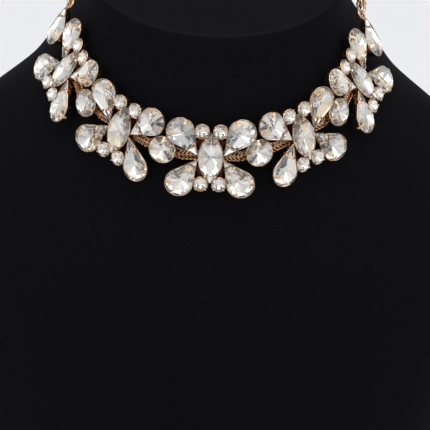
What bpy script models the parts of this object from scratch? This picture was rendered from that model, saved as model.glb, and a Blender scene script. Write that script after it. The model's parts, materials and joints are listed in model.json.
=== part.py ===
"""Bib necklace of claw-set crystals, worn on a plain velvet neck bust.

Metres, +Z up. The bust stands on z = 0 with its front at -Y. The necklace lies on the bust along one
collar line, and every setting is seated on the skin under it, so it follows when a size changes.
"""

import math

import bmesh
import bpy
import numpy as np
from mathutils import Matrix, Vector

mm = 0.001

# Bust
bust_height = 182 * mm
neck_width = 84 * mm
neck_depth = 98 * mm
shoulder_width = 190 * mm
chest_depth = 124 * mm
chest_forward = 5 * mm
rim_width = 2.6 * mm
rim_height = 1.4 * mm

# Collar line on the bust: its height at the front as a share of bust_height, its rise towards the nape
# and the sides, and the spacing of the clusters along it
collar_front_share = 0.8132
collar_nape_rise = 22 * mm
collar_side_rise = 8 * mm
cluster_pitch = 30.3 * mm
skin_gap = 0.3 * mm

# Stones
pear_width = 8 * mm
pear_length = 13 * mm
navette_width = 7 * mm
navette_length = 15 * mm
round_diameter = 8 * mm
small_diameter = 4 * mm
crown_height = 1.5 * mm
girdle_height = 0.3 * mm
pavilion_depth = 1.9 * mm
table_share = 0.58
culet_share = 0.3
tip_cut = 0.4 * mm

# Settings
stone_gap = 0.2 * mm
cup_wall = 0.3 * mm
cup_floor = 0.4 * mm
claw_width = 1.1 * mm
claw_thickness = 0.4 * mm
claw_reach = 0.9 * mm
claw_root = 0.8 * mm
claw_turn = math.radians(95)
small_rim = 0.2 * mm
small_girdle = 0.4 * mm
small_top = 1.3 * mm
cup_foot_share = 0.88
cup_inner_foot_share = 0.85
navette_cup_sink = 0.1 * mm
band_width = 3.4 * mm
band_thickness = 0.9 * mm
arm_width = 2.4 * mm
band_end_gap = 1.6 * mm
band_sink = 0.2 * mm
band_margin = 0.5 * mm

# Where the stones lie in a cluster, measured from its middle
pear_across = 9.4 * mm
pear_up = 8.1 * mm
pear_lean = math.radians(36.5)
small_across = 2.8 * mm
small_up = 8.3 * mm
navette_lift = 0.35 * mm

# Chain and clasp
link_wire = 0.45 * mm
link_half_length = 2.75 * mm
link_half_width = 1.35 * mm
link_bite = 0.25 * mm
ring_radius = 1.5 * mm
ring_sink = 0.4 * mm
hook_gap = 0.3 * mm
clasp_width = 4.4 * mm
clasp_thickness = 2.2 * mm
shortest_clasp = 9 * mm
nape_gap = 0.9 * mm
chain_meets = 16

# Mesh fineness
bust_sides = 34
rows_per_section = 2
stone_sides = 10
small_sides = 8
link_sides = 10
wire_sides = 5

# height: share of bust_height. broad: 0 is the neck's width, 1 the shoulders'. deep: 0 is the neck's
# depth, 1 the chest's. forward: share of chest_forward. power: 2 is an ellipse, more is squarer.
bust_sections = [
    # height, broad, deep, forward, power
    (0.000, 0.74, 0.08, 0.4, 2.5),
    (0.190, 0.90, 0.46, 0.6, 2.5),
    (0.385, 1.00, 0.85, 0.8, 2.4),
    (0.550, 1.00, 1.00, 1.0, 2.1),
    (0.687, 0.85, 1.00, 1.0, 1.6),
    (0.786, 0.40, 0.75, 1.0, 1.77),
    (0.868, 0.20, 0.54, 0.8, 1.92),
    (0.940, 0.02, 0.23, 0.6, 2.0),
    (1.000, 0.00, 0.00, 0.6, 2.0),
]

# along: in cluster pitches from the middle of the front, on the object's own left (-) or right (+)
cluster_stations = {"centre": 0, "left": -1, "right": 1, "left_outer": -2, "right_outer": 2}
# A round setting sits halfway between two clusters. An end setting sits end_reach pitches past the outer
# one, end_lift above its plane, with its tip turned end_rise up from the collar line
round_between = {
    "inner_left": ("left", "centre"),
    "inner_right": ("centre", "right"),
    "outer_left": ("left_outer", "left"),
    "outer_right": ("right", "right_outer"),
}
end_beside = {"left": "left_outer", "right": "right_outer"}
end_reach = 0.53
end_lift = 1.5 * mm
end_rise = math.radians(32)
corners = {"upper_left": (-1, 1), "upper_right": (1, 1), "lower_left": (-1, -1), "lower_right": (1, -1)}

finishes = {
    # name: colour, metallic, roughness
    "velvet": ((0.006, 0.006, 0.008), 0.0, 0.9),
    "rose_gold": ((0.86, 0.50, 0.33), 1.0, 0.22),
    "crystal": ((0.90, 0.92, 0.94), 0.0, 0.03),
}


# Scene

def clear_scene():
    for thing in list(bpy.data.objects):
        bpy.data.objects.remove(thing, do_unlink=True)


def new_collection(name, helper=False):
    made = bpy.data.collections.new(name)
    bpy.context.scene.collection.children.link(made)
    made.hide_render = helper
    return made


def finish(name):
    if name in bpy.data.materials:
        return bpy.data.materials[name]
    colour, metallic, roughness = finishes[name]
    made = bpy.data.materials.new(name)
    made.use_nodes = True
    shader = made.node_tree.nodes["Principled BSDF"]
    shader.inputs["Base Color"].default_value = (*colour, 1)
    shader.inputs["Metallic"].default_value = metallic
    shader.inputs["Roughness"].default_value = roughness
    made.diffuse_color = (*colour, 1)
    return made


def add(name, mesh, frame, material, parent):
    thing = bpy.data.objects.new(name, mesh)
    necklace.objects.link(thing)
    mesh.materials.clear()
    mesh.materials.append(finish(material))
    thing.parent = parent
    thing.matrix_world = frame
    return thing


# Shapes

def tower(levels):
    """One closed body whose outline changes from level to level, each a list of points in order."""
    body = bmesh.new()
    top = body.faces.new([body.verts.new(point) for point in levels[0]])
    for step, level in enumerate(levels[1:]):
        covered = top
        grown = bmesh.ops.extrude_face_region(body, geom=[covered])["geom"]
        top = next(part for part in grown if isinstance(part, bmesh.types.BMFace))
        for vertex, point in zip(list(top.verts), level):
            vertex.co = point
        if step > 0:
            bmesh.ops.delete(body, geom=[covered], context="FACES_ONLY")
    bmesh.ops.recalc_face_normals(body, faces=body.faces[:])
    return body


def to_mesh(body, name):
    mesh = bpy.data.meshes.new(name)
    body.to_mesh(mesh)
    body.free()
    return mesh


def union(meshes, name):
    """The meshes joined into one body with a Boolean."""
    parts = []
    for mesh in meshes:
        part = bpy.data.objects.new("helper", mesh)
        helpers.objects.link(part)
        part.display_type = "WIRE"
        parts.append(part)
    others = bpy.data.collections.new("others")
    for part in parts[1:]:
        others.objects.link(part)
    join = parts[0].modifiers.new("join", "BOOLEAN")
    join.operation = "UNION"
    join.solver = "EXACT"
    join.operand_type = "COLLECTION"
    join.collection = others
    graph = bpy.context.evaluated_depsgraph_get()
    joined = bpy.data.meshes.new_from_object(parts[0].evaluated_get(graph))
    joined.name = name
    for part in parts:
        bpy.data.objects.remove(part, do_unlink=True)
    bpy.data.collections.remove(others)
    return joined


def pear_outline(width, length, sides, grow=0.0):
    """Round end's centre at 0, blunt tip towards +Y: one arc and two straight flanks."""
    radius = width / 2
    to_tip = length - radius
    turn = math.acos(radius / to_tip)
    arc = [turn + (2 * math.pi - 2 * turn) * i / (sides - 2) for i in range(sides - 1)]
    points = [((radius + grow) * math.sin(a), (radius + grow) * math.cos(a)) for a in arc]
    blunt_tip = to_tip - tip_cut
    point_angle = math.atan2(radius * math.sin(turn), blunt_tip - radius * math.cos(turn))
    return points + [(0, blunt_tip + grow / math.sin(point_angle))]


def navette_outline(width, length, sides, grow=0.0):
    """Two arcs that meet in a point at +Y and at -Y."""
    reach = (length ** 2 + width ** 2) / (4 * width)
    inset = reach - width / 2
    span = math.acos(inset / (reach + grow))
    half = sides // 2
    right = []
    for i in range(half):
        a = span * (1 - 2 * i / half)
        right.append(((reach + grow) * math.cos(a) - inset, (reach + grow) * math.sin(a)))
    return right + [(-x, -y) for x, y in right]


def round_outline(width, length, sides, grow=0.0):
    radius = width / 2 + grow
    turns = [2 * math.pi * i / sides for i in range(sides)]
    return [(radius * math.sin(a), radius * math.cos(a)) for a in turns]


def middle(outline):
    return sum(x for x, y in outline) / len(outline), sum(y for x, y in outline) / len(outline)


def ring_of(outline, share, height, grow=0.0):
    """The outline drawn in towards its middle by a share, grown by a distance, at a height."""
    mx, my = middle(outline)
    points = []
    for x, y in outline:
        away = Vector((x - mx, y - my))
        away = away * share + away.normalized() * grow
        points.append((mx + away.x, my + away.y, height))
    return points


cuts = {"pear": pear_outline, "navette": navette_outline, "round": round_outline}


def stone_mesh(cut, width, length, name):
    outline = cuts[cut](width, length, stone_sides)
    levels = [
        ring_of(outline, culet_share, -pavilion_depth),
        ring_of(outline, 1, girdle_height / 2),
        ring_of(outline, table_share, girdle_height + crown_height),
    ]
    return to_mesh(tower(levels), name)


def cup_mesh(cut, width, length, extra_depth, frame):
    """The open cup round a stone: outside up, over the rim, and down to the floor inside."""
    inner = cuts[cut](width, length, stone_sides, stone_gap)
    outer = cuts[cut](width, length, stone_sides, stone_gap + cup_wall)
    floor = -(pavilion_depth + stone_gap)
    levels = [
        ring_of(outer, cup_foot_share, floor - cup_floor - extra_depth),
        ring_of(outer, 1, 0.5 * girdle_height),
        ring_of(inner, 1, 0.5 * girdle_height),
        ring_of(inner, cup_inner_foot_share, floor),
    ]
    mesh = to_mesh(tower(levels), "cup")
    mesh.transform(frame)
    return mesh


def small_stone_mesh(frame):
    """A small round stone fused to its cup."""
    stone = round_outline(small_diameter, small_diameter, small_sides)
    floor = -(pavilion_depth + stone_gap)
    levels = [
        ring_of(stone, 0.9, floor - 0.5 * cup_floor),
        ring_of(stone, 1, small_girdle, small_rim),
        ring_of(stone, table_share, small_top),
    ]
    mesh = to_mesh(tower(levels), "small_stone")
    mesh.transform(frame)
    return mesh


def claw_mesh(point, outward, frame):
    """A flat tab that stands on the cup's wall and folds over the crown, clear of the stone."""
    rise = crown_height / (pear_width / 2 * (1 - table_share))
    gap = stone_gap
    inside = girdle_height + rise * claw_reach + 1.3 * gap
    wall = gap + 0.25 * cup_wall
    section = [
        (wall, -claw_root),
        (wall + claw_thickness, -claw_root),
        (wall + claw_thickness, girdle_height + 0.6 * gap),
        (-claw_reach, inside + 0.6 * claw_thickness),
        (wall, girdle_height + 0.6 * gap),
    ]
    outward = Vector((outward[0], outward[1], 0)).normalized()
    along = Vector((-outward.y, outward.x, 0))
    start = Vector((point[0], point[1], 0))
    sides = []
    for shift in (-claw_width / 2, claw_width / 2):
        sides.append([start + outward * r + along * shift + Vector((0, 0, z)) for r, z in section])
    mesh = to_mesh(tower(sides), "claw")
    mesh.transform(frame)
    return mesh


def claw_places(cut, width, length):
    """(point on the outline, outward direction) of each claw of a cut."""
    if cut == "round":
        turns = [math.pi * 0.5 * i for i in range(4)]
        outs = [(math.sin(a), math.cos(a)) for a in turns]
        return [((width / 2 * x, width / 2 * y), (x, y)) for x, y in outs]
    if cut == "navette":
        reach = (length ** 2 + width ** 2) / (4 * width)
        turn = math.asin(0.31 * length / reach)
        x, y = reach * math.cos(turn) - (reach - width / 2), reach * math.sin(turn)
        signs = [(1, 1), (1, -1), (-1, -1), (-1, 1)]
        return [((sx * x, sy * y), (sx * math.cos(turn), sy * math.sin(turn))) for sx, sy in signs]
    radius = width / 2
    outline = pear_outline(width, length, stone_sides)
    shoulder, tip = Vector(outline[0]), Vector(outline[-1])
    found = []
    for side in (-1, 1):
        a = claw_turn * side
        found.append(((radius * math.sin(a), radius * math.cos(a)), (math.sin(a), math.cos(a))))
        place = shoulder.lerp(tip, 0.55)
        flank = (tip - shoulder).normalized()
        found.append(((side * place.x, place.y), (side * flank.y, -flank.x)))
    return found


def oval_ring(half_length, half_width, wire, segments):
    """A wire ring with straight sides, its long side along X, lying flat."""
    bpy.ops.mesh.primitive_torus_add(
        major_segments=segments,
        minor_segments=wire_sides,
        major_radius=half_width,
        minor_radius=wire,
    )
    thing = bpy.context.object
    mesh = thing.data
    bpy.data.objects.remove(thing, do_unlink=True)
    for vertex in mesh.vertices:
        vertex.co.x += math.copysign(half_length - half_width, vertex.co.x)
    return mesh


# Bust

def section_at(place):
    """Height, half width, half depth, centre and power at a place counted in sections from the base."""
    rows = np.array(bust_sections)
    last = len(rows) - 1
    place = min(max(place, 0.0), last - 1e-9)
    i = int(place)
    t = place - i
    before = rows[i - 1] if i > 0 else 2 * rows[0] - rows[1]
    after = rows[i + 2] if i + 2 <= last else 2 * rows[last] - rows[last - 1]
    here, there = rows[i], rows[i + 1]
    row = 0.5 * (
        2 * here
        + (there - before) * t
        + (2 * before - 5 * here + 4 * there - after) * t ** 2
        + (3 * here - before - 3 * there + after) * t ** 3
    )
    height, broad, deep, forward, power = row
    half_width = (neck_width + broad * (shoulder_width - neck_width)) / 2
    half_depth = (neck_depth + deep * (chest_depth - neck_depth)) / 2
    return height * bust_height, half_width, half_depth, -forward * chest_forward, power


def skin_point(turn, place):
    """A point of the bust's skin. turn is 0 at the front and grows towards +X."""
    height, half_width, half_depth, centre, power = section_at(place)
    s, c = math.sin(turn), math.cos(turn)
    x = half_width * math.copysign(abs(s) ** (2 / power), s)
    y = centre - half_depth * math.copysign(abs(c) ** (2 / power), c)
    return Vector((x, y, height))


def place_at_height(height):
    low, high = 0.0, len(bust_sections) - 1.0
    for _ in range(40):
        mid = (low + high) / 2
        if section_at(mid)[0] < height:
            low = mid
        else:
            high = mid
    return (low + high) / 2


def bust_mesh():
    levels = []
    count = (len(bust_sections) - 1) * rows_per_section
    turns = [2 * math.pi * i / bust_sides for i in range(bust_sides)]
    for row in range(count + 1):
        levels.append([skin_point(turn, row / rows_per_section) for turn in turns])
    top = levels[-1]
    outline = [(point.x, point.y) for point in top]
    height = top[0].z
    levels[-1] = ring_of(outline, 1, height - 0.5 * rim_height)
    levels.append(ring_of(outline, 1, height, -0.35 * rim_width))
    levels.append(ring_of(outline, 1, height, -0.7 * rim_width))
    levels.append(ring_of(outline, 1, height - rim_height, -rim_width))
    return to_mesh(tower(levels), "neck_bust")


# Collar line

def collar_height(turn):
    swing = (1 - math.cos(turn)) / 2
    front = collar_front_share * bust_height
    return front + collar_nape_rise * swing + collar_side_rise * math.sin(turn) ** 2


def collar_point(turn):
    return skin_point(turn, place_at_height(collar_height(turn)))


def skin_frame(turn):
    """Point, along the collar, up across it, and out of the skin."""
    step = 0.01
    place = place_at_height(collar_height(turn))
    across = skin_point(turn + step, place) - skin_point(turn - step, place)
    upward = skin_point(turn, place + step) - skin_point(turn, place - step)
    out = across.cross(upward).normalized()
    along = collar_point(turn + step) - collar_point(turn - step)
    along = (along - out * along.dot(out)).normalized()
    return skin_point(turn, place), along, out.cross(along), out


def collar_walk():
    """Turns from the front to the nape, with the distance along the collar line at stone height."""
    turns = [math.pi * i / 240 for i in range(241)]
    stone_height = band_thickness + pavilion_depth + cup_floor + skin_gap
    points = []
    for turn in turns:
        point, along, up, out = skin_frame(turn)
        points.append(point + out * stone_height)
    lengths = [0.0]
    for a, b in zip(points, points[1:]):
        lengths.append(lengths[-1] + (b - a).length)
    return turns, lengths


def turn_at(distance):
    turns, lengths = walked
    return math.copysign(float(np.interp(abs(distance), lengths, turns)), distance)


def seat(turn, half_across, half_up):
    """Frame of a setting at a turn: raised until its back clears the skin under it by skin_gap."""
    point, along, up, out = skin_frame(turn)
    place = place_at_height(collar_height(turn))
    cup_back = pavilion_depth + stone_gap + cup_floor
    band_back = cup_back + band_thickness - band_sink
    lift = 0.0
    for i in range(-14, 15):
        for j in range(-14, 15):
            skin = skin_point(turn + 0.03 * i, place + 0.1 * j) - point
            x, y, bump = skin.dot(along), skin.dot(up), skin.dot(out)
            if abs(x) > half_across or abs(y) > half_up:
                continue
            back = band_back if abs(y) < band_width / 2 + band_margin else cup_back
            lift = max(lift, bump + back + skin_gap)
    frame = Matrix((along, up, out)).transposed().to_4x4()
    frame.translation = point + out * lift
    return frame


# Settings

def in_plane(x, y, turn, z=0.0):
    """Place and turn a stone in a cluster's plane. The turn is clockwise from up."""
    return Matrix.Translation((x, y, z)) @ Matrix.Rotation(-turn, 4, "Z")


def pear_spots():
    """Each corner's place: the round end outwards, the tip towards the navette's waist."""
    spots = {}
    for corner, (side, rise) in corners.items():
        tip_x, tip_y = -side * math.sin(pear_lean), -rise * math.cos(pear_lean)
        spots[corner] = in_plane(side * pear_across, rise * pear_up, math.atan2(tip_x, tip_y))
    return spots


def claws(cut, width, length, frame):
    return [claw_mesh(p, out, frame) for p, out in claw_places(cut, width, length)]


def box_between(start, end, width, thickness, up):
    """A straight flat bar between two points, its width across the given up direction."""
    start, end = Vector(start), Vector(end)
    forward = (end - start).normalized()
    side = Vector(up).cross(forward).normalized()
    flat = forward.cross(side)
    ends = []
    for point in (start, end):
        corners_of = []
        for a, b in ((-1, -1), (1, -1), (1, 1), (-1, 1)):
            corners_of.append(point + side * a * width / 2 + flat * b * thickness / 2)
        ends.append(corners_of)
    return to_mesh(tower(ends), "bar")


def band_level():
    return -(pavilion_depth + stone_gap + cup_floor + band_thickness / 2 - band_sink)


def band_reach():
    """How far a cluster's band goes from its middle: to just short of the round setting beside it."""
    return cluster_pitch / 2 - round_diameter / 2 - stone_gap - cup_wall - band_end_gap


def cluster_mesh():
    flat = Matrix.Identity(4)
    lifted = Matrix.Translation((0, 0, navette_lift))
    parts = [cup_mesh("navette", navette_width, navette_length, navette_lift + navette_cup_sink, lifted)]
    parts += claws("navette", navette_width, navette_length, lifted)
    for spot in pear_spots().values():
        parts.append(cup_mesh("pear", pear_width, pear_length, 0, flat @ spot))
        parts += claws("pear", pear_width, pear_length, spot)
    for side, rise in corners.values():
        parts.append(small_stone_mesh(in_plane(side * small_across, rise * small_up, 0)))
    level = band_level()
    reach = band_reach()
    parts.append(box_between((-reach, 0, level), (reach, 0, level), band_width, band_thickness, (0, 0, 1)))
    return union(parts, "cluster_setting")


def build_clusters(root):
    setting = cluster_mesh()
    pear = stone_mesh("pear", pear_width, pear_length, "pear")
    navette = stone_mesh("navette", navette_width, navette_length, "navette")
    frames = {}
    half_across = pear_across + pear_width / 2
    half_up = pear_up + pear_width / 2
    for name, along in cluster_stations.items():
        frame = seat(turn_at(along * cluster_pitch), half_across, half_up)
        frames[name] = frame
        add(f"setting_{name}", setting.copy(), frame, "rose_gold", root)
        lifted = frame @ Matrix.Translation((0, 0, navette_lift))
        add(f"navette_{name}", navette.copy(), lifted, "crystal", root)
        for corner, spot in pear_spots().items():
            add(f"pear_{name}_{corner}", pear.copy(), frame @ spot, "crystal", root)
    return frames


def arm_mesh(own, other, side):
    """A bar from a setting's back to just short of a cluster's band, whatever the angle between them."""
    level = band_level()
    to_own = own.inverted() @ other
    start = Vector((0, 0, level))
    reach = to_own @ Vector((-side * band_reach(), 0, level)) - start
    angle = reach.angle(to_own.to_3x3() @ Vector((side, 0, 0)))
    short = (skin_gap + arm_width / 2 * math.sin(angle)) / math.cos(angle)
    end = start + reach * (1 - short / reach.length)
    return box_between(start, end, arm_width, band_thickness * 0.8, (0, 0, 1))


def build_rounds(root, clusters):
    stone = stone_mesh("round", round_diameter, round_diameter, "round_stone")
    for name, neighbours in round_between.items():
        half = round_diameter / 2
        along = sum(cluster_stations[cluster] for cluster in neighbours) / 2
        frame = seat(turn_at(along * cluster_pitch), half, half)
        parts = [cup_mesh("round", round_diameter, round_diameter, 0, Matrix.Identity(4))]
        parts += claws("round", round_diameter, round_diameter, Matrix.Identity(4))
        for side, cluster in zip((-1, 1), neighbours):
            parts.append(arm_mesh(frame, clusters[cluster], side))
        add(f"round_setting_{name}", union(parts, "round_setting"), frame, "rose_gold", root)
        add(f"round_stone_{name}", stone.copy(), frame, "crystal", root)


def end_ring_centre():
    """Middle of the ring at the tip of an end setting, in the pear's own axes."""
    tip = pear_outline(pear_width, pear_length, stone_sides, stone_gap + cup_wall)[-1][1]
    return Vector((0, tip + ring_radius - ring_sink, -0.5 * pavilion_depth))


def build_ends(root, clusters):
    stone = stone_mesh("pear", pear_width, pear_length, "end_pear")
    rings = {}
    for name, cluster in end_beside.items():
        side = math.copysign(1, cluster_stations[cluster])
        along = cluster_stations[cluster] + side * end_reach
        frame = seat(turn_at(along * cluster_pitch), pear_width / 2, pear_width / 2)
        frame = frame @ Matrix.Translation((0, 0, end_lift))
        frame = frame @ Matrix.Rotation(side * (end_rise - math.pi / 2), 4, "Z")
        flat = Matrix.Identity(4)
        parts = [cup_mesh("pear", pear_width, pear_length, 0, flat)]
        parts += claws("pear", pear_width, pear_length, flat)
        ring = oval_ring(ring_radius, ring_radius, link_wire, link_sides + 2)
        ring.transform(Matrix.Translation(end_ring_centre()))
        parts.append(ring)
        parts.append(arm_mesh(frame, clusters[cluster], -side))
        add(f"end_setting_{name}", union(parts, "end_setting"), frame, "rose_gold", root)
        add(f"end_pear_{name}", stone.copy(), frame, "crystal", root)
        rings[side] = frame @ Matrix.Translation(end_ring_centre())
    return rings


# Chain

def chain_line(side, ring):
    """Points from an end setting's ring to the nape, off the skin by half a link and the gap. The first
    link lies in the ring's own plane, halfway between the pear's axis and the way on."""
    stand_off = link_half_width + link_wire + nape_gap
    turns = walked[0]
    points = [offset_point(side, turn, stand_off) for turn in turns]
    start = ring.translation
    nearest = min(range(len(turns)), key=lambda i: (points[i] - start).length)
    points = points[nearest + chain_meets:]
    to_ring = ring.to_3x3().inverted()
    way = (to_ring @ (points[0] - start)).normalized() + Vector((0, 1, 0))
    leave = ring.to_3x3() @ Vector((way.x, way.y, 0)).normalized()
    return [start, start + leave * (hook_in() + link_pitch() / 2)] + points


def offset_point(side, turn, stand_off):
    point, along, up, out = skin_frame(side * turn)
    return point + out * stand_off


def at_length(line, distance):
    """The point and direction at a distance along a line of points."""
    for a, b in zip(line, line[1:]):
        step = (b - a).length
        if distance <= step:
            return a + (b - a) * (distance / step), (b - a).normalized()
        distance -= step
    return line[-1], (line[-1] - line[-2]).normalized()


def out_of_skin(point):
    """Outward direction of the bust's section round a point."""
    height, half_width, half_depth, centre, power = section_at(place_at_height(point.z))
    return Vector((point.x / half_width ** 2, (point.y - centre) / half_depth ** 2, 0)).normalized()


def link_frame(point, forward, out, flat):
    out = (out - forward * out.dot(forward)).normalized()
    up = out.cross(forward)
    if not flat:
        out, up = up, -out
    frame = Matrix((forward, up, out)).transposed().to_4x4()
    frame.translation = point
    return frame


def hook_in():
    """From the middle of a ring to the middle of the link hooked into it, clear of it all round."""
    return ring_radius - 2 * link_wire - hook_gap + link_half_length


def link_pitch():
    return 2 * (link_half_length - link_wire) + link_bite


def build_chain(root, rings):
    pitch = link_pitch()
    link = oval_ring(link_half_length, link_half_width, link_wire, link_sides)
    eyes = {}
    for side, ring in rings.items():
        line = chain_line(side, ring)
        whole = sum((b - a).length for a, b in zip(line, line[1:]))
        free = whole - shortest_clasp / 2 - ring_radius - 2 * hook_in()
        count = int(free / pitch) + 1
        links = []
        for i in range(count):
            ends = [at_length(line, hook_in() + (i + half) * pitch)[0] for half in (-0.5, 0.5)]
            point, forward = (ends[0] + ends[1]) / 2, (ends[1] - ends[0]).normalized()
            piece = link.copy()
            out = out_of_skin(point) if i else ring.to_3x3() @ Vector((0, 0, 1))
            piece.transform(link_frame(point, forward, out, flat=bool(i % 2)))
            links.append(piece)
        name = "left" if side < 0 else "right"
        add(f"chain_{name}", union(links, f"chain_{name}"), Matrix.Identity(4), "rose_gold", root)
        eyes[side] = at_length(line, 2 * hook_in() + (count - 1) * pitch)[0], count
    return eyes


def build_clasp(root, eyes):
    """A plain clasp at the nape, with an eye for the last link of each chain."""
    left, right = eyes[-1][0], eyes[1][0]
    middle_point = (left + right) / 2
    forward = (left - right).normalized()
    parts = []
    for side, (eye, count) in eyes.items():
        flat = bool(count % 2 == 0)
        piece = oval_ring(ring_radius, ring_radius, link_wire, link_sides + 2)
        piece.transform(link_frame(eye, forward, out_of_skin(eye), flat=not flat))
        parts.append(piece)
    length = (left - right).length - 2 * ring_radius + link_wire
    print("clasp body:", round(length / mm, 1), "mm, links:", [count for eye, count in eyes.values()])
    body = bmesh.new()
    bmesh.ops.create_uvsphere(body, u_segments=10, v_segments=6, radius=0.5)
    shape = Matrix.Diagonal((length, clasp_width, clasp_thickness, 1))
    plate = link_frame(middle_point, forward, out_of_skin(middle_point), flat=True)
    bmesh.ops.transform(body, matrix=plate @ shape, verts=body.verts)
    parts.append(to_mesh(body, "clasp_body"))
    add("clasp", union(parts, "clasp"), Matrix.Identity(4), "rose_gold", root)


clear_scene()
necklace = new_collection("bib_necklace_on_bust")
helpers = new_collection("cutters", helper=True)
walked = collar_walk()
origin = bpy.data.objects.new("bib_necklace", None)
necklace.objects.link(origin)
add("neck_bust", bust_mesh(), Matrix.Identity(4), "velvet", origin)
cluster_frames = build_clusters(origin)
build_rounds(origin, cluster_frames)
end_rings = build_ends(origin, cluster_frames)
clasp_eyes = build_chain(origin, end_rings)
build_clasp(origin, clasp_eyes)
print("collar line from front to nape:", round(walked[1][-1] / mm, 1), "mm")
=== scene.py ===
# %% [markdown]
# # A bib necklace on a velvet neck bust
#
# Butterfly clusters of clear cut stones, each stone in its own little rose-gold cup, are joined by
# round stones and a flat curb chain, and hang from two link chains round a black velvet neck bust. The
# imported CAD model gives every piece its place. This lesson dresses those pieces: real facets on the
# stones, thin cups and folded claws round them, round wire in the links and a soft pile on the velvet.

# %% Load the frame
import json
import math
import random

import bmesh
import bpy
from mathutils import Matrix, Vector

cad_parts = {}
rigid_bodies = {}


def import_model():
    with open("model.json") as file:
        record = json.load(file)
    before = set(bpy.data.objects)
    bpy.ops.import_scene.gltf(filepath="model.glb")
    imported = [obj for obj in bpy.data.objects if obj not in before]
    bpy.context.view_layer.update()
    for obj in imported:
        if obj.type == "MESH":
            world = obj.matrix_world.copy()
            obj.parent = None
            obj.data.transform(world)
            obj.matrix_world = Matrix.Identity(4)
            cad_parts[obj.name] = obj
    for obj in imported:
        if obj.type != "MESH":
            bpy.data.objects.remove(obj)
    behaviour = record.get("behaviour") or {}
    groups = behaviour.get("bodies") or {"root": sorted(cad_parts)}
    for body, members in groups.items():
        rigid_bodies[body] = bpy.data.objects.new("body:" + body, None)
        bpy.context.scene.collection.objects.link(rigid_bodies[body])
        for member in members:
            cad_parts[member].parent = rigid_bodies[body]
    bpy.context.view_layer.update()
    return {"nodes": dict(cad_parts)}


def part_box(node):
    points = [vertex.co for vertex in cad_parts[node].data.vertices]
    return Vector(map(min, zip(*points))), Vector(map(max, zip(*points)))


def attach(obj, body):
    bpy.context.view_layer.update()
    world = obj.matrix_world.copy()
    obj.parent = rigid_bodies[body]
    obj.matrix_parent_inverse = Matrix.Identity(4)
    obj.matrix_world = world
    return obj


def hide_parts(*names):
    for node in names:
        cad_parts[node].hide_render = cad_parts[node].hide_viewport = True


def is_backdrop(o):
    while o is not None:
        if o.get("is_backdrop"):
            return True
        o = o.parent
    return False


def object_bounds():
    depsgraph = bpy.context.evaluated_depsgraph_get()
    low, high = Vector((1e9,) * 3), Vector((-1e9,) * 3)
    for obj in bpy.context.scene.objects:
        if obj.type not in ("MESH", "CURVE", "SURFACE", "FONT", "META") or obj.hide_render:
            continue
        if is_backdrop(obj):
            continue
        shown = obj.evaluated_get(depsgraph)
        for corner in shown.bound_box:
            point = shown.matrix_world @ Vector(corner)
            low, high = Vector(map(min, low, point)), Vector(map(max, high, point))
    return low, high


for thing in list(bpy.data.objects):
    bpy.data.objects.remove(thing, do_unlink=True)

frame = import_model()
mm = 0.001
at_origin = Matrix.Identity(4)
print("CAD nodes:", len(frame["nodes"]))

# %% [markdown]
# ## Where each stone sits
#
# A stone's plain CAD solid already lies in the right place, so its new shape is built round the origin
# and then moved there. One could type the places in again, but they would go stale when the CAD
# changes. Reading them from the solid is safer: its largest flat face is the table, whose normal points
# out of the necklace, and the point furthest from the table's middle is the stone's tip.

# %% Sizes of the stones
pear_width, pear_length = 8 * mm, 13 * mm
navette_width, navette_length = 7 * mm, 15 * mm
round_diameter = 8 * mm
small_diameter = 4 * mm
tip_cut = 0.4 * mm
girdle_height = 0.3 * mm
cad_crown_height = 1.5 * mm
print("a pear is", round(pear_width / mm), "x", round(pear_length / mm), "mm")

# %% Places read from the CAD stones
merge_distance = 0.001 * mm
same_plane = math.radians(1)
near_tip = 0.999
near_rim = 0.98


def axes(across, up, out, origin):
    made = Matrix((across, up, out)).transposed().to_4x4()
    made.translation = origin
    return made


def merged_copy(node):
    """A CAD node's shape as a bmesh, with the corners of its loose triangles merged."""
    solid = bmesh.new()
    solid.from_mesh(frame["nodes"][node].data)
    bmesh.ops.remove_doubles(solid, verts=solid.verts, dist=merge_distance)
    return solid


def seat_of(node, cut):
    """A stone's own axes: X across, Y to its tip, Z out of its table, origin in the girdle's plane."""
    solid = merged_copy(node)
    bmesh.ops.dissolve_limit(solid, angle_limit=same_plane, verts=solid.verts, edges=solid.edges)
    table = max(solid.faces, key=lambda face: face.calc_area())
    out, middle = table.normal.copy(), table.calc_center_median()
    spokes = []
    for vertex in solid.verts:
        spoke = vertex.co - middle
        spokes.append(spoke - out * spoke.dot(out))
    solid.free()
    reach = max(spoke.length for spoke in spokes)
    near_end = near_rim if cut == "round" else near_tip
    furthest = [spoke for spoke in spokes if spoke.length > near_end * reach]
    tip = max(furthest, key=lambda spoke: spoke.z)
    up = tip.normalized()
    origin = middle - out * (girdle_height + cad_crown_height)
    if cut == "pear":
        origin += tip - up * (pear_length - pear_width / 2 - tip_cut)
    return axes(up.cross(out), up, out, origin)


clusters = ["left_outer", "left", "centre", "right", "right_outer"]
corners = ["upper_left", "upper_right", "lower_left", "lower_right"]
rounds = ["outer_left", "inner_left", "inner_right", "outer_right"]
sides = ["left", "right"]
seats = {}
for cluster in clusters:
    seats[f"navette_{cluster}"] = seat_of(f"navette_{cluster}", "navette")
    for corner in corners:
        seats[f"pear_{cluster}_{corner}"] = seat_of(f"pear_{cluster}_{corner}", "pear")
for name in rounds:
    seats[f"round_stone_{name}"] = seat_of(f"round_stone_{name}", "round")
for side in sides:
    seats[f"end_pear_{side}"] = seat_of(f"end_pear_{side}", "pear")
centre_place = seats["navette_centre"].translation
print("seats:", len(seats), "centre at", [round(c / mm, 1) for c in centre_place])

# %% [markdown]
# ## Materials
#
# Three things have to be told apart: warm metal, clear stone and black cloth. Each could be one flat
# colour, but none is on the real necklace. A few small helpers make the nodes that all of them share: a
# noise that lies still on the piece, a spread of values, a ramp of colours and a bump.

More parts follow.
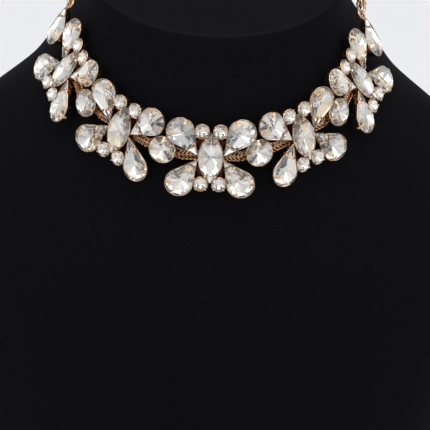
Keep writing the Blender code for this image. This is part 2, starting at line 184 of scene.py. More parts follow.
# %% Shared node helpers
noise_low, noise_high = 0.3, 0.7


def new_material(name, colour):
    made = bpy.data.materials.new(name)
    made.use_nodes = True
    made.diffuse_color = (*colour, 1)
    shader = made.node_tree.nodes["Principled BSDF"]
    shader.inputs["Base Color"].default_value = (*colour, 1)
    return made, made.node_tree, shader


def node(tree, kind, **settings):
    made = tree.nodes.new(kind)
    for name, value in settings.items():
        made.inputs[name.replace("_", " ")].default_value = value
    return made


def noise_of(tree, scale, detail):
    """Noise that lies still on the piece, in its own coordinates."""
    place = tree.nodes.new("ShaderNodeTexCoord")
    noise = node(tree, "ShaderNodeTexNoise", Scale=scale, Detail=detail)
    tree.links.new(place.outputs["Object"], noise.inputs["Vector"])
    return noise.outputs["Fac"]


def spread(tree, value, low, high):
    """The part of the noise's range that it mostly takes, spread to low and high."""
    mapped = node(tree, "ShaderNodeMapRange", From_Min=noise_low, From_Max=noise_high,
                  To_Min=low, To_Max=high)
    tree.links.new(value, mapped.inputs["Value"])
    return mapped.outputs["Result"]


def ramp_of(tree, value, stops):
    """A colour ramp with (position, colour) stops."""
    ramp = tree.nodes.new("ShaderNodeValToRGB")
    while len(ramp.color_ramp.elements) < len(stops):
        ramp.color_ramp.elements.new(0.5)
    for element, (position, colour) in zip(ramp.color_ramp.elements, stops):
        element.position = position
        element.color = (*colour, 1)
    tree.links.new(value, ramp.inputs["Fac"])
    return ramp.outputs["Color"]


def bump_of(tree, shader, value, strength, distance):
    bump = node(tree, "ShaderNodeBump", Strength=strength, Distance=distance)
    tree.links.new(value, bump.inputs["Height"])
    tree.links.new(bump.outputs["Normal"], shader.inputs["Normal"])


print("node helpers ready")

# %% [markdown]
# ## Three golds
#
# The cups, claws and links are plated in rose gold, whose fine uneven polish shows as patches a little
# paler or redder. The wires behind the clusters are the same plate, given a dark, dull brown as painted
# shade for the hollow they lie in. The curb chain gets a darker copy of the rose gold, painted shade for
# a chain that lies behind the stones, whose tone wanders at random between a dark and a pale one. One
# gold for all of them would be simpler, but the wires would then shine through the gaps between the
# stones.


# %% Golds
def gold(name, colour, grain_scale, grain_detail, darker, paler):
    """A metal whose tint wanders between two tones, each given with its place in the ramp."""
    made, tree, shader = new_material(name, colour)
    shader.inputs["Metallic"].default_value = 1.0
    grain = noise_of(tree, grain_scale, grain_detail)
    tree.links.new(ramp_of(tree, grain, [darker, paler]), shader.inputs["Base Color"])
    return made, tree, shader, grain


rose_gold, tree, shader, polish = gold(
    "rose_gold_plate", (0.66, 0.46, 0.31), grain_scale=900, grain_detail=3,
    darker=(0.3, (0.50, 0.31, 0.175)), paler=(0.65, (0.73, 0.53, 0.37)))
tree.links.new(spread(tree, polish, low=0.16, high=0.30), shader.inputs["Roughness"])
bump_of(tree, shader, polish, strength=0.15, distance=0.05 * mm)
# painted shade: the back wires are the rose gold plate, darkened to a dull brown for the hollow behind
# the cups
back_wire_painted_shade, tree, shader, grain = gold(
    "back_wire_gold_painted_shade", (0.16, 0.05, 0.035), grain_scale=1400, grain_detail=2,
    darker=(0.35, (0.07, 0.018, 0.012)), paler=(0.7, (0.20, 0.07, 0.04)))
shader.inputs["Roughness"].default_value = 0.5
# painted shade: a darker copy of the rose gold for the curb chain lying behind the stones; its tone
# wanders at random
chain_gold_painted_shade, tree, shader, chain_grain = gold(
    "curb_gold_painted_shade", (0.52, 0.29, 0.16), grain_scale=700, grain_detail=2,
    darker=(0.3, (0.46, 0.24, 0.13)), paler=(0.7, (0.82, 0.56, 0.37)))
tree.links.new(spread(tree, chain_grain, low=0.20, high=0.34), shader.inputs["Roughness"])
print("materials:", rose_gold.name, back_wire_painted_shade.name, chain_gold_painted_shade.name)

# %% [markdown]
# ## Clear crown and foiled back
#
# A foiled stone is clear glass in front and a mirror behind: light goes in through the crown, bounces
# off the back facets and comes out somewhere else, which makes it sparkle. Real glass over a real mirror
# gives light and dark patches by itself, which change as the eye moves, so most of the sparkle is not
# painted. The foil is an old one, so it scatters a little and is slightly blurred. Each facet of the
# foil also takes its own tone from an attribute: mostly silver white ones, the foil's own colour, and a
# few grey ones and some gold ones, which are painted reflections of dark surroundings and of the cup's
# gold.

# %% Crystal and foil
crystal, tree, shader = new_material("clear_crystal", (0.98, 0.985, 0.99))
shader.inputs["Roughness"].default_value = 0.0
shader.inputs["IOR"].default_value = 1.5
shader.inputs["Transmission Weight"].default_value = 1.0
foil, tree, shader = new_material("stone_foil", (0.93, 0.93, 0.94))
shader.inputs["Metallic"].default_value = 0.86
shader.inputs["Roughness"].default_value = 0.05
facet = tree.nodes.new("ShaderNodeAttribute")
facet.attribute_name = "facet"
# painted reflections in the foil: the grey tones paint dark reflections, the last gold tones paint the
# cup's gold
foil_painted_reflections = [
    (0.0, (0.50, 0.50, 0.52)),
    (0.10, (0.72, 0.71, 0.69)),
    (0.34, (0.86, 0.84, 0.81)),
    (0.60, (0.96, 0.935, 0.895)),
    (0.82, (0.95, 0.885, 0.79)),
    (1.0, (0.84, 0.68, 0.50)),
]
tree.links.new(ramp_of(tree, facet.outputs["Fac"], foil_painted_reflections), shader.inputs["Base Color"])
print("materials:", crystal.name, foil.name)

# %% [markdown]
# ## Black velvet
#
# Velvet is almost black where one looks straight into its pile, and shows a soft bluish sheen where the
# pile is seen edge-on. Thousands of hairs would do it too, but they are too fine to see here, so the
# shader's sheen over a finely bumped black cloth is enough.

# %% Velvet
velvet, tree, shader = new_material("black_velvet", (0.006, 0.006, 0.008))
pile = noise_of(tree, scale=2600, detail=4)
pile_tones = [(0.35, (0.0026, 0.0026, 0.0033)), (0.75, (0.0058, 0.0056, 0.0070))]
tree.links.new(ramp_of(tree, pile, pile_tones), shader.inputs["Base Color"])
shader.inputs["Roughness"].default_value = 0.95
shader.inputs["Specular IOR Level"].default_value = 0.03
shader.inputs["Sheen Weight"].default_value = 0.02
shader.inputs["Sheen Roughness"].default_value = 0.35
shader.inputs["Sheen Tint"].default_value = (0.62, 0.66, 0.85, 1)
bump_of(tree, shader, pile, strength=0.4, distance=0.2 * mm)
print("material:", velvet.name)

# %% [markdown]
# ## Outlines of the three cuts
#
# Stone, cup rim and claws all follow one outline, so it is worth one function. A pear is an arc with
# two straight flanks that meet in a blunt tip, a navette is two arcs that meet in two points, and a
# round stone is a circle. Points are spread evenly by the distance walked along the outline, so the
# facets come out equally wide.


# %% Outline functions
def pear_at(share, grow):
    radius = pear_width / 2
    to_tip = pear_length - radius
    turn = math.acos(radius / to_tip)
    flank = math.sqrt(to_tip ** 2 - radius ** 2)
    arc = radius * 2 * (math.pi - turn)
    walked = share % 1 * (2 * flank + arc)
    side = 1
    if walked > flank + arc / 2:
        walked, side = 2 * flank + arc - walked, -1
    if walked < flank:
        blunt = Vector((0, to_tip - tip_cut))
        corner = Vector((math.sin(turn), math.cos(turn))) * radius
        point = blunt.lerp(corner, walked / flank)
    else:
        a = turn + (walked - flank) / radius
        point = Vector((math.sin(a), math.cos(a))) * radius
    return Vector((side * point.x, point.y)) * (radius + grow) / radius


def navette_at(share, grow):
    reach = (navette_length ** 2 + navette_width ** 2) / (4 * navette_width)
    inset = reach - navette_width / 2
    span = math.acos(inset / (reach + grow))
    share = share % 1
    side = 1 if share <= 0.5 else -1
    a = span * (1 - 4 * share) if share <= 0.5 else span * (1 - 4 * (1 - share))
    return Vector((side * ((reach + grow) * math.cos(a) - inset), (reach + grow) * math.sin(a)))


def round_at(share, grow, diameter=round_diameter):
    a = 2 * math.pi * share
    return Vector((math.sin(a), math.cos(a))) * (diameter / 2 + grow)


def small_at(share, grow):
    return round_at(share, grow, small_diameter)


print("pear's widest point:", round(pear_at(0.5, 0).length / mm, 2), "mm from its middle")

# %% Rings of points on an outline
outlines = {"pear": pear_at, "navette": navette_at, "round": round_at, "small": small_at}
middles = {
    "pear": Vector((0, 0.9 * mm)),
    "navette": Vector((0, 0)),
    "round": Vector((0, 0)),
    "small": Vector((0, 0)),
}


def add_ring(body, cut, count, drawn_in, height, grow=0.0, half_step=0.0):
    """A ring of points on a cut's outline, drawn in towards its middle, at a height."""
    made = bmesh.ops.create_circle(body, segments=count, radius=1)["verts"]
    for i, vertex in enumerate(made):
        place = outlines[cut]((i + half_step) / count, grow)
        place = middles[cut] + (place - middles[cut]) * drawn_in
        vertex.co = (place.x, place.y, height)
    return made


print("outlines:", list(outlines))

# %% [markdown]
# ## Turning a bmesh into a piece
#
# Every piece ends the same way: its shape is moved to its place inside the mesh, its object stays at
# the origin, it gets its materials, rides on the one body of this model and stands for its CAD nodes.
# Doing that in one helper keeps the later cells short.

# %% Piece helper
# edges up to so many degrees are shaded smooth
smooth_sheet = 35
smooth_wire = 60
smooth_all = 180


def piece(name, body, place, materials, nodes=(), smooth_angle=None):
    """Makes the finished object from a bmesh, with its place in its mesh."""
    bmesh.ops.transform(body, matrix=place, verts=body.verts)
    mesh = bpy.data.meshes.new(name)
    for face in body.faces:
        face.smooth = smooth_angle is not None
    body.to_mesh(mesh)
    body.free()
    for material in materials:
        mesh.materials.append(material)
    if smooth_angle is not None:
        mesh.set_sharp_from_angle(angle=math.radians(smooth_angle))
    made = bpy.data.objects.new(name, mesh)
    bpy.context.scene.collection.objects.link(made)
    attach(made, "root")
    if nodes:
        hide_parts(*nodes)
    return made


def into(body, other, place):
    """Adds the shape of another bmesh to this one, at a place."""
    mesh = bpy.data.meshes.new("passing")
    other.to_mesh(mesh)
    mesh.transform(place)
    body.from_mesh(mesh)
    bpy.data.meshes.remove(mesh)


print("piece helper ready")

# %% [markdown]
# ## Cut stones
#
# A cutter grinds flat facets round a flat table. The corners of those facets lie on a few rings: the
# table's edge, a ring partway down the crown turned by half a step, the two edges of the girdle, and a
# small ring at the point of the back. A convex hull over these rings gives the kites and triangles of a
# brilliant cut at once, and merging the almost flat pairs leaves the facets. Cutting a block with
# planes would give the same stone with far more steps.

# %% Facets
facets = {
    # steps round, table's share, crown's height, back's depth
    "pear": (9, 0.62, 1.15 * mm, 1.2 * mm),
    "navette": (8, 0.60, 1.15 * mm, 1.2 * mm),
    "round": (8, 0.58, 1.2 * mm, 1.4 * mm),
    "small": (6, 0.58, 0.75 * mm, 0.9 * mm),
}
crown_ring_height = 0.62
back_point_share = 0.12
stone_grow = 0.15 * mm
nearly_flat = math.radians(4)
faces_back = -0.15


def cut_stone(cut, seed):
    """A faceted stone with its girdle at z = 0. Back facets take the foil, the second material."""
    steps, table, crown, depth = facets[cut]
    body = bmesh.new()
    crown_ring = girdle_height + crown * crown_ring_height
    add_ring(body, cut, steps, table, girdle_height + crown)
    add_ring(body, cut, steps, (1 + table) / 2, crown_ring, stone_grow, half_step=0.5)
    add_ring(body, cut, 2 * steps, 1, girdle_height, stone_grow)
    add_ring(body, cut, 2 * steps, 1, 0, stone_grow)
    add_ring(body, cut, steps, back_point_share, -depth)
    bmesh.ops.convex_hull(body, input=body.verts)
    loose = [edge for edge in body.edges if not edge.link_faces]
    bmesh.ops.delete(body, geom=loose, context="EDGES")
    bmesh.ops.dissolve_limit(body, angle_limit=nearly_flat, verts=body.verts, edges=body.edges)
    bmesh.ops.recalc_face_normals(body, faces=body.faces)
    chance = random.Random(seed)
    # each facet picks at random a tone of the foil's painted reflections
    reflection_pick = body.faces.layers.float.new("facet")
    for face in body.faces:
        face.material_index = 1 if face.normal.z < faces_back else 0
        face[reflection_pick] = chance.random()
    return body


test = cut_stone("pear", 1)
print("facets of a pear:", len(test.faces))
test.free()

# %% Place the large stones
cut_of = {"navette": "navette", "pear": "pear", "round": "round", "end": "pear"}
for number, (name, place) in enumerate(seats.items()):
    cut = cut_of[name.split("_")[0]]
    piece(f"cut_{name}", cut_stone(cut, number), place, [crystal, foil], [name])
print("stones placed:", len(seats))

# %% [markdown]
# ## Cups
#
# Each stone sits in a thin cup stamped from sheet: a flat foot, a wall that flares to the girdle, a
# narrow rim and the hollow inside. The wall is lofted by bridging rings of the stone's outline, which
# keeps the rim's width true at the tips, and a rim that is higher in its middle catches the light. The
# bench way, a cutter in a Boolean, would leave uneven edges at this size.

# %% Cup
stone_gap = 0.17 * mm
cup_wall = 0.2 * mm
cup_floor = 0.4 * mm
cup_depth = {"pear": 2.1 * mm, "navette": 2.1 * mm, "round": 2.1 * mm, "small": 1.5 * mm}
cup_sides = {"pear": 32, "navette": 28, "round": 28, "small": 18}


def loft(body, rings):
    """Bridges each ring of points to the next, and closes both ends."""
    for low, high in zip(rings, rings[1:]):
        edges = []
        for ring in (low, high):
            for vertex in ring:
                for edge in vertex.link_edges:
                    if edge.other_vert(vertex) in ring and edge not in edges:
                        edges.append(edge)
        bmesh.ops.bridge_loops(body, edges=edges)
    for ring in (rings[0], rings[-1]):
        bmesh.ops.contextual_create(body, geom=ring)
    bmesh.ops.recalc_face_normals(body, faces=body.faces)


def cup(cut):
    depth = cup_depth[cut]
    outer = stone_gap + cup_wall
    profile = [
        # share of the outline, height, distance out from the stone
        (0.84, -depth - cup_floor, outer),
        (0.97, -0.35 * depth, outer),
        (1, 0.02 * mm, outer),
        (1, 0.10 * mm, stone_gap + 0.6 * cup_wall),
        (1, 0.06 * mm, stone_gap),
        (0.97, -0.35 * depth, stone_gap),
        (0.80, -depth, stone_gap),
    ]
    body = bmesh.new()
    loft(body, [add_ring(body, cut, cup_sides[cut], *row) for row in profile])
    return body


test = cup("pear")
print("faces of a pear's cup:", len(test.faces))
test.free()

# %% [markdown]
# ## Claws
#
# Four flat tabs stand on each cup's wall and are folded down over the crown. The real one is a strip of
# sheet, bent, so a tab is one strip of quads laid along the bend and given its thickness with solidify.
# A bevel softens its edges. At the tip of the smallest claws it leaves a face without area, which is
# dissolved again.

# %% Claw
claw_width = 0.9 * mm
claw_reach = 1.3 * mm
claw_thickness = 0.22 * mm
claw_root = 1.2 * mm
claw_edge = 0.07 * mm
over_crown = [
    # share of the reach, lift off the crown, share of the width
    (0.45, 0.12 * mm, 1.0),
    (0.85, 0.10 * mm, 0.95),
    (1.0, 0.06 * mm, 0.6),
]


def claw(width, reach, crown, run):
    """A folded tab: Y points away from the stone, Z out, and the origin is on the girdle's edge."""
    wall = stone_gap + cup_wall
    rise = crown / run
    bend = [
        # away from the stone, height, share of the width
        (wall, -claw_root, 1.0),
        (wall, 0.15 * mm, 1.0),
        (0.6 * wall, girdle_height + 0.18 * mm, 1.0),
    ]
    for share, lift, narrowing in over_crown:
        bend.append((-share * reach, girdle_height + lift + rise * share * reach, narrowing))
    body = bmesh.new()
    bmesh.ops.create_grid(body, x_segments=1, y_segments=len(bend) - 1, size=1)
    for vertex in body.verts:
        row = round((vertex.co.y + 1) / 2 * (len(bend) - 1))
        away, height, share = bend[row]
        vertex.co = (math.copysign(width / 2 * share, vertex.co.x), away, height)
    bmesh.ops.recalc_face_normals(body, faces=body.faces)
    bmesh.ops.solidify(body, geom=body.faces[:], thickness=-claw_thickness)
    bmesh.ops.recalc_face_normals(body, faces=body.faces)
    bmesh.ops.bevel(body, geom=body.edges[:], affect="EDGES", offset=claw_edge, segments=1, profile=0.5,
                    material=-1, clamp_overlap=True)
    bmesh.ops.dissolve_degenerate(body, dist=merge_distance, edges=body.edges)
    return body


test = claw(claw_width, claw_reach, crown=facets["pear"][2], run=claw_reach)
print("faces of a claw:", len(test.faces))
test.free()

# %% Claws round a cup
claw_spots = {
    # shares of the outline, from the tip round
    "pear": (0.11, 0.37, 0.63, 0.89),
    "navette": (0.07, 0.43, 0.57, 0.93),
    "round": (0.0, 0.25, 0.5, 0.75),
    "small": (0.125, 0.375, 0.625, 0.875),
}
short_way = 0.005


def claws_round(body, cut, place, width=claw_width, reach=claw_reach):
    """Folds the four claws of a cut over its crown, square to its outline."""
    table, crown = facets[cut][1:3]
    run = outlines[cut](0.5, 0).length * (1 - table)
    for share in claw_spots[cut]:
        point = outlines[cut](share, 0)
        ahead = outlines[cut](share + short_way, 0) - outlines[cut](share - short_way, 0)
        away = Vector((-ahead.y, ahead.x)).normalized()
        if away.dot(point - middles[cut]) < 0:
            away = -away
        across = Vector((away.y, -away.x, 0))
        spot = axes(across, away.to_3d(), Vector((0, 0, 1)), point.to_3d())
        into(body, claw(width, reach, crown, run), place @ spot)


print("claws on a pear:", len(claw_spots["pear"]))

# %% [markdown]
# ## Wires behind a cluster
#
# The cups of a cluster are soldered to a small grid of flat wires: four uprights, four slanting ones
# out to the pears, and short rungs above and below the waist. They show only as dark lines in the gaps
# between the stones, so each wire is a bevelled box and one table says where they run. Curves would
# bring round ends that nobody sees.

# %% Back wires
uprights_and_slants = [
    # across, up and level of the start and of the end, then width and thickness, in mm
    ((1.2, -8.6, -2.3), (1.2, 8.6, -2.3), 0.9, 0.5),
    ((3.4, -7.6, -2.4), (3.4, 7.6, -2.4), 0.8, 0.5),
    ((0, -2.5, -2.4), (6.5, -5.5, -2.4), 0.9, 0.5),
    ((0, 2.5, -2.4), (6.5, 5.5, -2.4), 0.9, 0.5),
]
rungs_each_way = 4
rung_start, rung_pitch = 3.9, 1.1
rung_reach, rung_level = 3.8, -2.5
rung_width, rung_thickness = 0.7, 0.4
bevel_share = 0.12


def bar(body, start, end, width, thickness):
    """A flat strip between two points of the cluster's plane, in mm."""
    start, end = Vector(start) * mm, Vector(end) * mm
    size = Vector(((end - start).length, width * mm, thickness * mm))
    shape = bmesh.new()
    bmesh.ops.create_cube(shape, size=1)
    bmesh.ops.scale(shape, vec=size, verts=shape.verts)
    bmesh.ops.bevel(shape, geom=shape.edges[:], affect="EDGES", offset=bevel_share * size.z, segments=1,
                    profile=0.5, material=-1)
    turn = math.atan2(end.y - start.y, end.x - start.x)
    into(body, shape, Matrix.Translation((start + end) / 2) @ Matrix.Rotation(turn, 4, "Z"))
    shape.free()


back_wires = bmesh.new()
for side in (-1, 1):
    for (x, y, z), (end_x, end_y, end_z), width, thickness in uprights_and_slants:
        bar(back_wires, (side * x, y, z), (side * end_x, end_y, end_z), width, thickness)
for way in (-1, 1):
    for i in range(rungs_each_way):
        height = way * (rung_start + i * rung_pitch)
        start, end = (-rung_reach, height, rung_level), (rung_reach, height, rung_level)
        bar(back_wires, start, end, rung_width, rung_thickness)
# the wires take the second material, the dull brown painted shade
for face in back_wires.faces:
    face.material_index = 1
print("faces of the wires behind a cluster:", len(back_wires.faces))

# %% [markdown]
# ## Cluster settings
#
# In a cluster the cups of the middle stone, the four pears and the four small stones are soldered into
# one piece over those wires. All of them are gathered in one mesh, as the solder does. The small stones
# are gathered in a second one, because they are glass.

# %% Build the cluster settings and their small stones
small_across, small_up, small_lift = 2.8 * mm, 8.3 * mm, 0.2 * mm
small_claw = 0.45 * mm
navette_lift = 0.35 * mm
quarters = [(-1, 1), (1, 1), (-1, -1), (1, -1)]
first_small_seed = 50

for number, cluster in enumerate(clusters):
    own = seats[f"navette_{cluster}"] @ Matrix.Translation((0, 0, -navette_lift))
    home = own.inverted()
    metal, gems = bmesh.new(), bmesh.new()
    lifted = Matrix.Translation((0, 0, navette_lift))
    into(metal, cup("navette"), lifted)
    claws_round(metal, "navette", lifted)
    for corner in corners:
        spot = home @ seats[f"pear_{cluster}_{corner}"]
        into(metal, cup("pear"), spot)
        claws_round(metal, "pear", spot)
    for i, (x, y) in enumerate(quarters):
        spot = Matrix.Translation((x * small_across, y * small_up, small_lift))
        into(metal, cup("small"), spot)
        claws_round(metal, "small", spot, width=small_claw, reach=small_claw)
        into(gems, cut_stone("small", first_small_seed + len(quarters) * number + i), spot)
    into(metal, back_wires, at_origin)
    piece(f"cluster_setting_{cluster}", metal, own, [rose_gold, back_wire_painted_shade],
          [f"setting_{cluster}"], smooth_sheet)
    piece(f"small_stones_{cluster}", gems, own, [crystal, foil])
back_wires.free()
print("clusters:", len(clusters))

# %% [markdown]
# ## Round settings
#
# The four round stones between the clusters have cups of their own, each with four claws, threaded on
# the curb chain. The same cup and claws serve them, on the round outline.

# %% Build the round settings
for name in rounds:
    metal = cup("round")
    claws_round(metal, "round", at_origin)
    place = seats[f"round_stone_{name}"]
    piece(f"round_cup_{name}", metal, place, [rose_gold],
          [f"round_setting_{name}"], smooth_sheet)
print("round settings:", len(rounds))

# %% [markdown]
# ## Link chain
#
# A chain link is a wire ring pulled long. Spinning a small circle round an axis makes the ring, and
# moving its two halves apart makes it long. Every second link is turned by a quarter, as interlocking
# makes them lie. An array along a curve would space the links evenly but wouldn't meet the CAD's ones,
# so the places where the links meet are measured on the CAD chain, and the new links follow its own one
# for one.

# %% Wire rings
link_wire = 0.45 * mm
link_half_length, link_half_width = 2.75 * mm, 1.35 * mm
ring_radius = 1.5 * mm
wire_steps, wire_sides = 18, 8


def wire_ring(half_length, half_width, wire, steps=wire_steps, sides_of_wire=wire_sides):
    """A closed wire ring in the XY plane, its long side along X."""
    body = bmesh.new()
    profile = bmesh.ops.create_circle(body, segments=sides_of_wire, radius=wire)["verts"]
    turn = Matrix.Translation((half_width, 0, 0)) @ Matrix.Rotation(math.pi / 2, 4, "X")
    bmesh.ops.transform(body, matrix=turn, verts=profile)
    bmesh.ops.spin(body, geom=body.verts[:] + body.edges[:], cent=(0, 0, 0), axis=(0, 0, 1),
                   angle=2 * math.pi, steps=steps, use_merge=True)
    for vertex in body.verts:
        vertex.co.x += math.copysign(half_length - half_width, vertex.co.x)
    bmesh.ops.remove_doubles(body, verts=body.verts, dist=merge_distance)
    bmesh.ops.recalc_face_normals(body, faces=body.faces)
    return body


test = wire_ring(link_half_length, link_half_width, link_wire)
print("faces of a link:", len(test.faces))
test.free()

# %% Places of the links, read from the CAD chain
straight_side = 3 * mm


def island_of(first):
    """A vertex and all that its edges lead to."""
    first.tag = True
    island = [first]
    for member in island:
        for edge in member.link_edges:
            other = edge.other_vert(member)
            if not other.tag:
                other.tag = True
                island.append(other)
    return island


def chain_joints(node):
    """The places where a CAD chain's links meet, from the front to the nape.

    Only the straight sides of the links have long edges. Without those, what is left at each joint is an
    island of points, and the joint is its middle.
    """
    solid = merged_copy(node)
    straight = [edge for edge in solid.edges if edge.calc_length() > straight_side]
    bmesh.ops.delete(solid, geom=straight, context="EDGES")
    joints = []
    for vertex in solid.verts:
        if not vertex.tag:
            island = island_of(vertex)
            joints.append(sum((member.co for member in island), Vector()) / len(island))
    solid.free()
    return sorted(joints, key=lambda joint: joint.y)


joints_of = {side: chain_joints(f"chain_{side}") for side in sides}
print("links a side:", [len(joints) - 1 for joints in joints_of.values()])

# %% [markdown]
# ## Chains and end settings
#
# Each chain hooks into a wire ring at the tip of the end pear's cup, so its first link stands across
# that ring. The others lie along the neck or stand on it by turns. The neck's section is an oval, and a
# point's outward direction on it is its place from the axis with the depth drawn in.

# %% Chains and end settings
neck_oval = 0.75
cad_cup_grow = 0.5 * mm
ring_sink = 0.4 * mm
ring_level = -0.95 * mm
ring_centre = Vector((0, pear_at(0, cad_cup_grow).y + ring_radius - ring_sink, ring_level))


def link_place(point, forward, out, flat):
    """Axes of a link: X along the chain, its flat face along the outward direction or across it."""
    out = (out - forward * out.dot(forward)).normalized()
    up = out.cross(forward)
    if not flat:
        out, up = up, -out
    return axes(forward, up, out, point)


def link_chain(joints, ring_plane):
    """A link between each two joints. The first one hangs in the end setting's ring."""
    chain = bmesh.new()
    for i, (a, b) in enumerate(zip(joints, joints[1:])):
        link = wire_ring(link_half_length, link_half_width, link_wire)
        middle = (a + b) / 2
        out = ring_plane if i == 0 else Vector((middle.x, neck_oval * middle.y, 0))
        into(chain, link, link_place(middle, (b - a).normalized(), out, flat=i % 2 == 1))
        link.free()
    return chain


for side in sides:
    seat = seats[f"end_pear_{side}"]
    chain = link_chain(joints_of[side], seat.to_3x3() @ Vector((0, 0, 1)))
    piece(f"link_chain_{side}", chain, at_origin, [rose_gold], [f"chain_{side}"], smooth_wire)
    metal = cup("pear")
    claws_round(metal, "pear", at_origin)
    ring = wire_ring(ring_radius, ring_radius, link_wire)
    into(metal, ring, Matrix.Translation(ring_centre))
    ring.free()
    piece(f"end_cup_{side}", metal, seat, [rose_gold], [f"end_setting_{side}"], smooth_sheet)
print("chains and end settings:", len(sides), "each")

# %% [markdown]
# ## Flat curb chain behind the stones
#
# Between the clusters a flat chain shows, woven of two rows of tiny links that lean into each other
# like plaits of hair. It runs along the backs of all the cups. A bumped strip would be lighter but
# shows no light through it, so the links are real rings. They are so small that twelve steps round and
# a five-sided wire are enough.

# %% Path of the curb chain
back_level = -2.75 * mm
band_reach = 9.05 * mm
along_the_collar = ["left_outer", "outer_left", "left", "inner_left", "centre", "inner_right", "right",
                    "outer_right", "right_outer"]


def curb_path():
    """Points behind the cups from end to end, each with its outward direction."""
    points = []
    for name in along_the_collar:
        if name in clusters:
            place = seats[f"navette_{name}"] @ Matrix.Translation((0, 0, -navette_lift))
            stops = [-band_reach, 0, band_reach]
        else:
            place = seats[f"round_stone_{name}"]
            stops = [0]
        out = place.to_3x3() @ Vector((0, 0, 1))
        for stop in stops:
            points.append((place @ Vector((stop, 0, back_level)), out))
    return points


path = curb_path()
print("curb chain's points:", len(path))

# %% Curb chain
curb_pitch = 1.2 * mm
curb_row = 0.66 * mm
curb_half_length, curb_half_width, curb_wire = 1.05 * mm, 0.58 * mm, 0.18 * mm
curb_steps, curb_wire_sides = 12, 5
curb_turn = math.radians(36)
curb_tilt = math.radians(22)

band = bmesh.new()
walked = 0.0
count = 0
for (a, out_a), (b, out_b) in zip(path, path[1:]):
    length = (b - a).length
    forward = (b - a).normalized()
    while walked < length:
        share = walked / length
        out = out_a.lerp(out_b, share)
        out = (out - forward * out.dot(forward)).normalized()
        level = axes(forward, out.cross(forward), out, a.lerp(b, share))
        for row in (-1, 1):
            link = wire_ring(curb_half_length, curb_half_width, curb_wire, curb_steps, curb_wire_sides)
            lean = Matrix.Rotation(row * curb_turn, 4, "Z") @ Matrix.Rotation(curb_tilt, 4, "X")
            into(band, link, level @ Matrix.Translation((0, row * curb_row, 0)) @ lean)
            link.free()
        walked += curb_pitch
        count += 1
    walked -= length
piece("curb_chain", band, at_origin, [chain_gold_painted_shade], smooth_angle=smooth_wire)
print("pairs of curb links:", count)

# %% [markdown]
# ## Clasp
#
# The clasp lies at the nape, where the front never shows it, so it stays one plain piece: a flattened
# bead with an eye at each end for the last link. A lever with its spring would only be a guess.

# %% Build the clasp
clasp_width, clasp_thickness = 4.4 * mm, 2.2 * mm
bead_segments, bead_rings = 24, 14
low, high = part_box("clasp")
middle = (low + high) / 2
eye_reach = middle.x - low.x - ring_radius - link_wire
bead_length = 2 * eye_reach - 2 * ring_radius + link_wire
along = Vector((1, 0, 0))
backwards = Vector((0, 1, 0))

clasp = bmesh.new()
bmesh.ops.create_uvsphere(clasp, u_segments=bead_segments, v_segments=bead_rings, radius=0.5)
shape = link_place(middle, along, backwards, flat=True)
size = Matrix.Diagonal((bead_length, clasp_width, clasp_thickness, 1))
bmesh.ops.transform(clasp, matrix=shape @ size, verts=clasp.verts)
for side in (-1, 1):
    eye = wire_ring(ring_radius, ring_radius, link_wire)
    into(clasp, eye, link_place(middle - along * side * eye_reach, along, backwards, flat=True))
    eye.free()
piece("clasp_body", clasp, at_origin, [rose_gold], ["clasp"], smooth_wire)
print("clasp:", [round(c / mm, 1) for c in high - low], "mm")

# %% [markdown]
# ## The velvet bust
#
# The bust's CAD solid has the right form but shows its flat sides. Its mesh is copied, each flat end is
# made one face, the triangles between are merged back into quads, and a Subdivision Surface rounds it,
# which also keeps it just inside the CAD solid. The edge of the foot is creased, so that it stays crisp
# where it stands.

# %% Bust
flat_end = 0.9999
joined_bend = math.radians(45)
joined_skew = math.radians(60)
foot_edge = 0.1 * mm
rounding_levels = 2

bust = merged_copy("neck_bust")
for end in (-1, 1):
    bmesh.ops.dissolve_faces(bust, faces=[face for face in bust.faces if face.normal.z * end > flat_end])
bmesh.ops.join_triangles(bust, faces=[face for face in bust.faces if len(face.verts) == 3],
                         angle_face_threshold=joined_bend, angle_shape_threshold=joined_skew)
bmesh.ops.recalc_face_normals(bust, faces=bust.faces)
crease = bust.edges.layers.float.new("crease_edge")
for edge in bust.edges:
    if max(vertex.co.z for vertex in edge.verts) < foot_edge:
        edge[crease] = 1.0
print("bust quads:", sum(len(face.verts) == 4 for face in bust.faces), "of", len(bust.faces))
velvet_bust = piece("velvet_bust", bust, at_origin, [velvet], ["neck_bust"], smooth_all)
rounding = velvet_bust.modifiers.new("rounding", "SUBSURF")
rounding.levels = rounding.render_levels = rounding_levels

# %% [markdown]
# ## Floor
#
# The bust stands on a plain pale table top. It is wide enough that its far edge stays out of the
# picture, and lies a hair lower than the foot, so that the two faces don't fight.

# %% Floor
floor_reach = 3
floor_drop = 0.4 * mm

ground = bmesh.new()
bmesh.ops.create_grid(ground, x_segments=2, y_segments=2, size=floor_reach)
bmesh.ops.translate(ground, vec=(0, 0, -floor_drop), verts=ground.verts)
mesh = bpy.data.meshes.new("floor")
ground.to_mesh(mesh)
ground.free()
floor = bpy.data.objects.new("floor", mesh)
bpy.context.scene.collection.objects.link(floor)
pale, tree, shader = new_material("pale_floor", (0.692, 0.699, 0.727))
shader.inputs["Roughness"].default_value = 0.9
mesh.materials.append(pale)
floor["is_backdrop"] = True
print("floor:", 2 * floor_reach, "m wide")

# %% [markdown]
# ## Light
#
# A cut stone shows what is round it, so broad light gives broad bright facets and a small lamp gives
# hard sparks. Here the light is as soft as in a white tent: a large lamp above, a tall one at each
# side, and a sky that is grey low down and nearly white overhead. The darker low sky is what the steep
# facets show, and without it the stones would look flat.


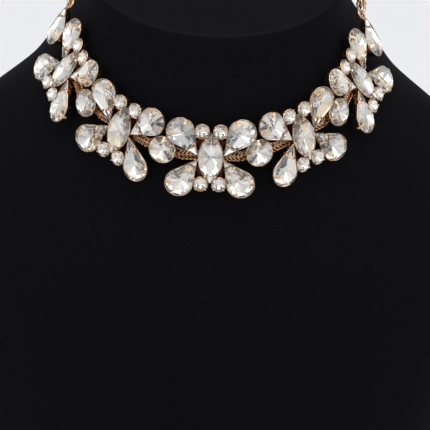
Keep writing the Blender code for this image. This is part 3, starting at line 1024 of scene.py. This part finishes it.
# %% Lamps
def softbox(name, place, size, power):
    """A soft rectangular lamp that faces the middle of the bib."""
    lamp = bpy.data.lights.new(name, "AREA")
    lamp.shape = "RECTANGLE"
    lamp.size, lamp.size_y = size
    lamp.energy = power
    made = bpy.data.objects.new(name, lamp)
    made.location = place
    made.rotation_euler = (centre_place - Vector(place)).to_track_quat("-Z", "Y").to_euler()
    bpy.context.scene.collection.objects.link(made)
    return made


lamps = [
    softbox("overhead", place=(0.0, -0.25, 1.1), size=(0.9, 0.8), power=3.6),
    softbox("left_side", place=(-0.9, -0.5, 0.6), size=(0.5, 0.8), power=2.2),
    softbox("right_side", place=(0.9, -0.4, 0.7), size=(0.5, 0.8), power=2.2),
]
print("lamps:", [lamp.name for lamp in lamps])

# %% Sky
sky_strength = 1.1
sky_greys = [
    # how far up, grey
    (0.0, 0.50),
    (0.45, 0.78),
    (0.7, 0.86),
    (1.0, 0.96),
]

world = bpy.context.scene.world or bpy.data.worlds.new("studio")
bpy.context.scene.world = world
world.use_nodes = True
sky = world.node_tree
place = sky.nodes.new("ShaderNodeTexCoord")
split = sky.nodes.new("ShaderNodeSeparateXYZ")
sky.links.new(place.outputs["Generated"], split.inputs["Vector"])
shade = ramp_of(sky, split.outputs["Z"], [(up, (grey, grey, grey)) for up, grey in sky_greys])
sky.links.new(shade, sky.nodes["Background"].inputs["Color"])
sky.nodes["Background"].inputs["Strength"].default_value = sky_strength
print("sky:", world.name)

# %% [markdown]
# ## Camera
#
# The camera looks down on the bib by about thirty degrees from arm's length, through a long lens that
# hardly spreads the outer clusters, and leans a little. It is placed from the middle stone: that one
# shows at a known point of the picture, so the aim is turned from it by as many pixels as that point
# lies off the middle.

# %% Camera
elevation = math.radians(29.8)
roll = 0.036
distance = 0.7
sensor = 36
lens = 193.4
shown_at = (210.55, 158.45)
picture_side = 430

camera_data = bpy.data.cameras.new("camera")
camera_data.sensor_width, camera_data.lens = sensor, lens
camera = bpy.data.objects.new("camera", camera_data)
bpy.context.scene.collection.objects.link(camera)
back = Vector((0, -math.cos(elevation), math.sin(elevation)))
camera.location = centre_place + back * distance
aim = (-back).to_track_quat("-Z", "Y").to_matrix()
lean = Matrix.Rotation(roll, 3, "Z")
per_pixel = sensor / lens / picture_side
offset_x = (picture_side / 2 - shown_at[0]) * per_pixel
offset_y = (picture_side / 2 - shown_at[1]) * per_pixel
nudge = Matrix.Rotation(-offset_x, 3, "Y") @ Matrix.Rotation(-offset_y, 3, "X")
camera.rotation_euler = (aim @ lean @ nudge).to_euler()
bpy.context.scene.camera = camera
bpy.context.scene.view_settings.view_transform = "Standard"
print("camera at", [round(c, 3) for c in camera.location])

# %% [markdown]
# ## Sizes and finish
#
# The dressed model should keep the CAD's size, so its visual box is printed at the end.

# %% Print the visual box
low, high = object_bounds()
print("visual box:", [round(c / mm, 1) for c in low], [round(c / mm, 1) for c in high])
